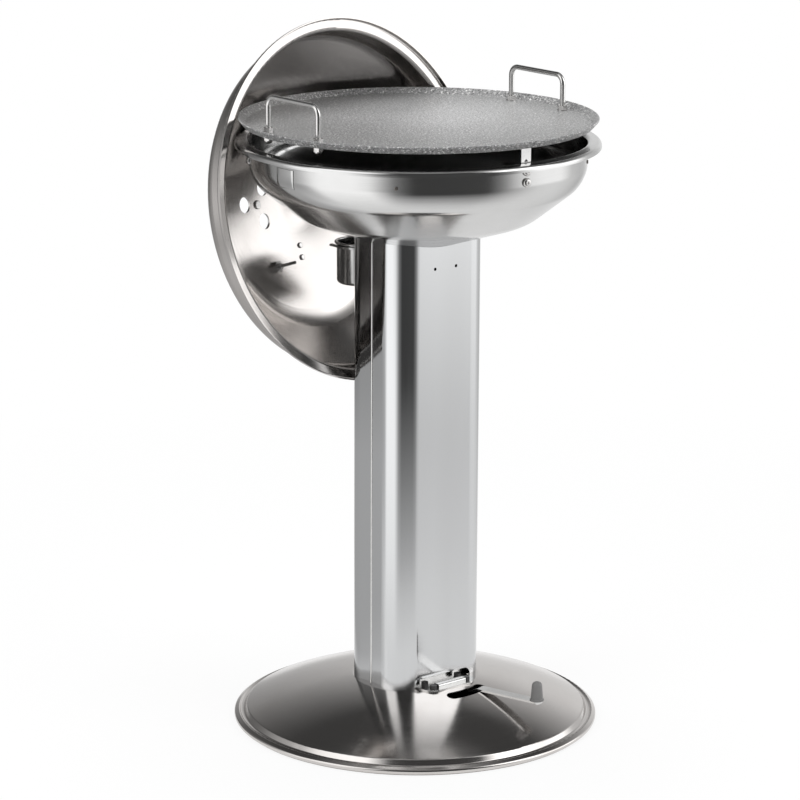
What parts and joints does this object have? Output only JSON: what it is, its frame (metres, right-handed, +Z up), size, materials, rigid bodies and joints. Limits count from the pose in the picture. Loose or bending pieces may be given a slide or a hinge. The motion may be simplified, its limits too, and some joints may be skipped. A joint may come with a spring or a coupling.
{
  "type": "pedestal barbecue",
  "caption": "Stainless pedestal barbecue: fire bowl on a chimney column and domed foot, griddle plate on brackets, lid hung behind, foot lever for the draught.",
  "frame": {"origin": "centre of the foot's underside, on the ground", "axes": "+Z up, front towards -Y where the foot lever and the arch are, lid behind towards +Y"},
  "size_m": [0.5782, 0.6161, 1.0782],
  "materials": {
    "polished_steel": "mirror-polished stainless sheet",
    "satin_steel": "satin stainless sheet",
    "bright_fastener": "bright stainless fasteners",
    "wire_steel": "bright bent wire",
    "black_fastener": "blackened bolts",
    "granite_coat": "speckled grey non-stick coat",
    "dark_steel": "dark heat-stained steel",
    "grey_rubber": "matt grey rubber",
    "black_grip": "black heat-proof plastic",
    "dial_face": "white enamelled dial",
    "needle_paint": "red needle",
    "gauge_glass": "clear flat glass"
  },
  "bodies": {
    "stand": {"base_dome": "polished_steel", "base_pan": "dark_steel", "seat_ring": "dark_steel", "foot_plate": "satin_steel", "ash_guard": "satin_steel", "foot_rib": "satin_steel", "foot_bolts": "black_fastener", "pivot_bolt": "bright_fastener", "pivot_nut": "bright_fastener", "column_front_shell": "satin_steel", "column_rear_shell": "satin_steel", "seam_strip_left": "satin_steel", "seam_strip_right": "satin_steel", "column_head": "satin_steel", "bowl": "satin_steel", "bowl_bolts": "bright_fastener", "bowl_nuts": "bright_fastener", "support_bracket_front": "satin_steel", "support_bracket_left": "satin_steel", "support_bracket_right": "satin_steel", "bracket_screws": "bright_fastener", "bracket_nuts": "bright_fastener", "grid_studs": "bright_fastener", "cup_fork": "satin_steel", "fork_screws": "bright_fastener", "fork_nuts": "bright_fastener"},
    "foot_lever": {"shutter_disc": "dark_steel", "lever_hub": "dark_steel", "lever_bar": "satin_steel", "lever_knob": "grey_rubber", "knob_screw": "bright_fastener"},
    "griddle": {"griddle_plate": "granite_coat", "griddle_handle_left": "wire_steel", "griddle_handle_right": "wire_steel", "handle_nuts": "bright_fastener", "handle_washers": "bright_fastener", "handle_cap_nuts": "bright_fastener"},
    "grate": {"charcoal_grate": "dark_steel"},
    "lid": {"lid_dome": "polished_steel", "lid_hook": "satin_steel", "hook_rivets": "bright_fastener", "lid_handle_feet": "bright_fastener", "lid_handle_bow": "wire_steel", "lid_handle_grip": "black_grip", "lid_handle_screws": "bright_fastener", "thermometer_case": "satin_steel", "thermometer_dial": "dial_face", "thermometer_glass": "gauge_glass", "thermometer_stem": "bright_fastener", "thermometer_nut": "bright_fastener", "vent_rivet": "bright_fastener"},
    "lid_vent": {"vent_disc": "satin_steel"},
    "gauge_needle": {"thermometer_needle": "needle_paint"},
    "cup": {"grease_cup": "satin_steel"}
  },
  "joints": [
    {"name": "lever_swing", "type": "hinge", "parent": "stand", "child": "foot_lever", "pos_m": [0, 0, 0.0602], "axis": [0, 0, 1], "range_deg": [-23, 0]},
    {"name": "griddle_lift", "type": "slide", "parent": "stand", "child": "griddle", "axis": [0, -0.788, 0.6157], "range_m": [0, 0.3]},
    {"name": "grate_lift", "type": "slide", "parent": "stand", "child": "grate", "axis": [0, 0, 1], "range_m": [0, 0.08]},
    {"name": "lid_lift", "type": "slide", "parent": "stand", "child": "lid", "axis": [-0.0867, 0.7611, 0.6428], "range_m": [0, 0.35]},
    {"name": "vent_turn", "type": "hinge", "parent": "lid", "child": "lid_vent", "pos_m": [-0.11642, 0.25193, 0.78854], "axis": [-0.2535, 0.9481, -0.1919], "range_deg": [0, 60]},
    {"name": "needle_turn", "type": "hinge", "parent": "lid", "child": "gauge_needle", "pos_m": [-0.09666, 0.22865, 0.69036], "axis": [-0.1966, 0.9253, -0.3243], "range_deg": [-250, 0]},
    {"name": "cup_slide", "type": "slide", "parent": "stand", "child": "cup", "axis": [0, 1, 0], "range_m": [0, 0.052]}
  ]
}
